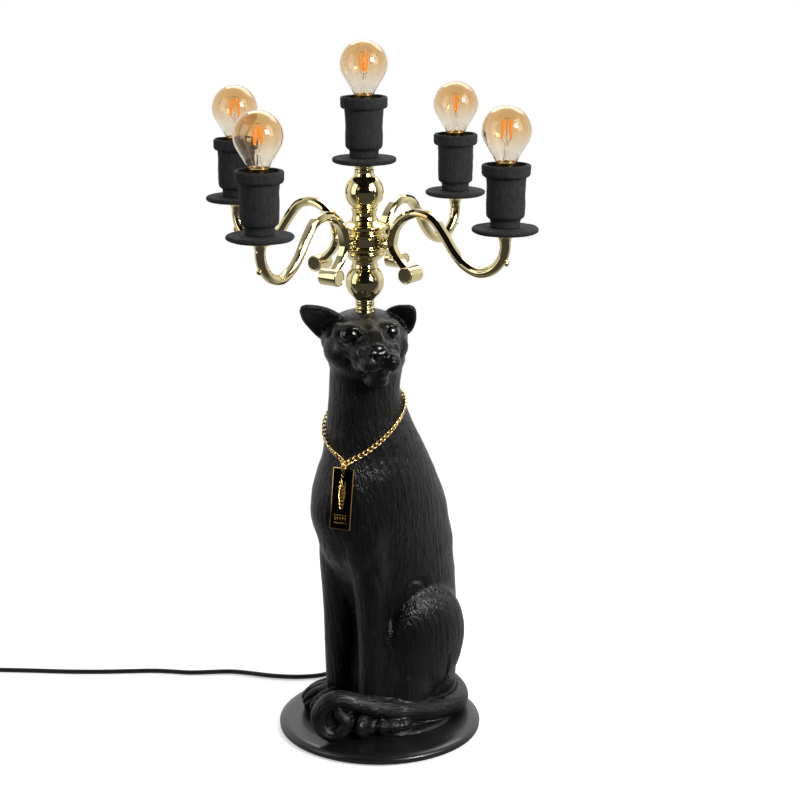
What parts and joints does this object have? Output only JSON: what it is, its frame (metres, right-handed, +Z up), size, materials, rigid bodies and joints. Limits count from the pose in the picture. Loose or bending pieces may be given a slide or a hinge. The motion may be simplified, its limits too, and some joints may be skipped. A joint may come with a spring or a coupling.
{
  "type": "table lamp",
  "caption": "Table lamp with a seated black panther on a round base, a polished brass candelabra with amber bulbs on its head, a neck chain and a cord.",
  "frame": {"origin": "on the axis of the brass column, on the surface that the lamp stands on", "axes": "+Z up along the column, -Y towards the side that the panther's face looks to, +X to the right seen from there"},
  "size_m": [0.7579, 0.3098, 0.6803],
  "materials": {
    "base_lacquer": "satin black lacquer",
    "felt_pad": "soft matte foam rubber",
    "black_resin": "cast resin, satin black with a brushed coat texture",
    "zinc_steel": "zinc plated",
    "polished_brass": "mirror-polished pale brass",
    "matte_black_cover": "rough matte black, hand-modelled surface",
    "lampholder_plastic": "moulded black",
    "bulb_cap_brass": "nickel-brass screw cap, semi gloss",
    "amber_glass": "amber-tinted clear glass",
    "led_filament": "orange phosphor strip",
    "gold_plate": "deep gold plate, polished",
    "black_enamel": "gloss black enamel in a gold frame",
    "cord_pvc": "black PVC, semi gloss",
    "black_plastic": "moulded black, fine texture"
  },
  "bodies": {
    "lamp": {"base_plate": "base_lacquer", "base_pad": "felt_pad", "cable_gland": "black_plastic", "threaded_rod": "zinc_steel", "rod_nut": "zinc_steel", "panther_body": "black_resin", "seat_collar": "polished_brass", "lower_ball": "polished_brass", "lower_spool": "polished_brass", "upper_spool": "polished_brass", "upper_ball": "polished_brass", "top_collar": "polished_brass", "arm_hub": "polished_brass", "arm_front_right": "polished_brass", "arm_back_right": "polished_brass", "arm_back_left": "polished_brass", "arm_front_left": "polished_brass", "arm_screw_front_right": "polished_brass", "arm_screw_back_right": "polished_brass", "arm_screw_back_left": "polished_brass", "arm_screw_front_left": "polished_brass", "drip_pan_front_right": "matte_black_cover", "socket_cover_front_right": "matte_black_cover", "lampholder_front_right": "lampholder_plastic", "drip_pan_back_right": "matte_black_cover", "socket_cover_back_right": "matte_black_cover", "lampholder_back_right": "lampholder_plastic", "drip_pan_back_left": "matte_black_cover", "socket_cover_back_left": "matte_black_cover", "lampholder_back_left": "lampholder_plastic", "drip_pan_front_left": "matte_black_cover", "socket_cover_front_left": "matte_black_cover", "lampholder_front_left": "lampholder_plastic", "drip_pan_centre": "matte_black_cover", "socket_cover_centre": "matte_black_cover", "lampholder_centre": "lampholder_plastic", "chain": "gold_plate", "cord_lead": "cord_pvc", "cord_tail": "cord_pvc", "cord_coil": "cord_pvc", "switch_body": "black_plastic", "plug": "black_plastic"},
    "bulb_cap_front_right": {"bulb_cap_front_right": "bulb_cap_brass"},
    "bulb_envelope_front_right": {"bulb_glass_front_right": "amber_glass", "bulb_filament_front_right": "led_filament"},
    "bulb_cap_back_right": {"bulb_cap_back_right": "bulb_cap_brass"},
    "bulb_envelope_back_right": {"bulb_glass_back_right": "amber_glass", "bulb_filament_back_right": "led_filament"},
    "bulb_cap_back_left": {"bulb_cap_back_left": "bulb_cap_brass"},
    "bulb_envelope_back_left": {"bulb_glass_back_left": "amber_glass", "bulb_filament_back_left": "led_filament"},
    "bulb_cap_front_left": {"bulb_cap_front_left": "bulb_cap_brass"},
    "bulb_envelope_front_left": {"bulb_glass_front_left": "amber_glass", "bulb_filament_front_left": "led_filament"},
    "bulb_cap_centre": {"bulb_cap_centre": "bulb_cap_brass"},
    "bulb_envelope_centre": {"bulb_glass_centre": "amber_glass", "bulb_filament_centre": "led_filament"},
    "pendant": {"jump_ring": "gold_plate", "pendant_tag": "black_enamel"},
    "rocker": {"switch_rocker": "black_plastic"}
  },
  "joints": [
    {"name": "bulb_lift_front_right", "type": "slide", "parent": "lamp", "child": "bulb_cap_front_right", "axis": [0, 0, 1], "range_m": [0, 0.0099]},
    {"name": "bulb_turn_front_right", "type": "hinge", "parent": "bulb_cap_front_right", "child": "bulb_envelope_front_right", "pos_m": [0.1254, -0.09111, 0.57855], "axis": [0, 0, 1], "range_deg": [0, 1260]},
    {"name": "bulb_lift_back_right", "type": "slide", "parent": "lamp", "child": "bulb_cap_back_right", "axis": [0, 0, 1], "range_m": [0, 0.0099]},
    {"name": "bulb_turn_back_right", "type": "hinge", "parent": "bulb_cap_back_right", "child": "bulb_envelope_back_right", "pos_m": [0.09111, 0.1254, 0.57855], "axis": [0, 0, 1], "range_deg": [0, 1260]},
    {"name": "bulb_lift_back_left", "type": "slide", "parent": "lamp", "child": "bulb_cap_back_left", "axis": [0, 0, 1], "range_m": [0, 0.0099]},
    {"name": "bulb_turn_back_left", "type": "hinge", "parent": "bulb_cap_back_left", "child": "bulb_envelope_back_left", "pos_m": [-0.1254, 0.09111, 0.57855], "axis": [0, 0, 1], "range_deg": [0, 1260]},
    {"name": "bulb_lift_front_left", "type": "slide", "parent": "lamp", "child": "bulb_cap_front_left", "axis": [0, 0, 1], "range_m": [0, 0.0099]},
    {"name": "bulb_turn_front_left", "type": "hinge", "parent": "bulb_cap_front_left", "child": "bulb_envelope_front_left", "pos_m": [-0.09111, -0.1254, 0.57855], "axis": [0, 0, 1], "range_deg": [0, 1260]},
    {"name": "bulb_lift_centre", "type": "slide", "parent": "lamp", "child": "bulb_cap_centre", "axis": [0, 0, 1], "range_m": [0, 0.0099]},
    {"name": "bulb_turn_centre", "type": "hinge", "parent": "bulb_cap_centre", "child": "bulb_envelope_centre", "pos_m": [0, 0, 0.6287], "axis": [0, 0, 1], "range_deg": [0, 1260]},
    {"name": "pendant_swing", "type": "hinge", "parent": "lamp", "child": "pendant", "pos_m": [-0.02028, -0.04556, 0.2883], "axis": [-0.9135, 0.4067, 0], "range_deg": [0, 60]},
    {"name": "switch_rock", "type": "hinge", "parent": "lamp", "child": "rocker", "pos_m": [-0.471, 0.138, 0.014], "axis": [0, -1, 0], "range_deg": [0, 14]}
  ],
  "couplings": [
    {"joint": "bulb_lift_front_right", "follows": "bulb_turn_front_right", "m_per_rad": 0.00044882},
    {"joint": "bulb_lift_back_right", "follows": "bulb_turn_back_right", "m_per_rad": 0.00044882},
    {"joint": "bulb_lift_back_left", "follows": "bulb_turn_back_left", "m_per_rad": 0.00044882},
    {"joint": "bulb_lift_front_left", "follows": "bulb_turn_front_left", "m_per_rad": 0.00044882},
    {"joint": "bulb_lift_centre", "follows": "bulb_turn_centre", "m_per_rad": 0.00044882}
  ]
}
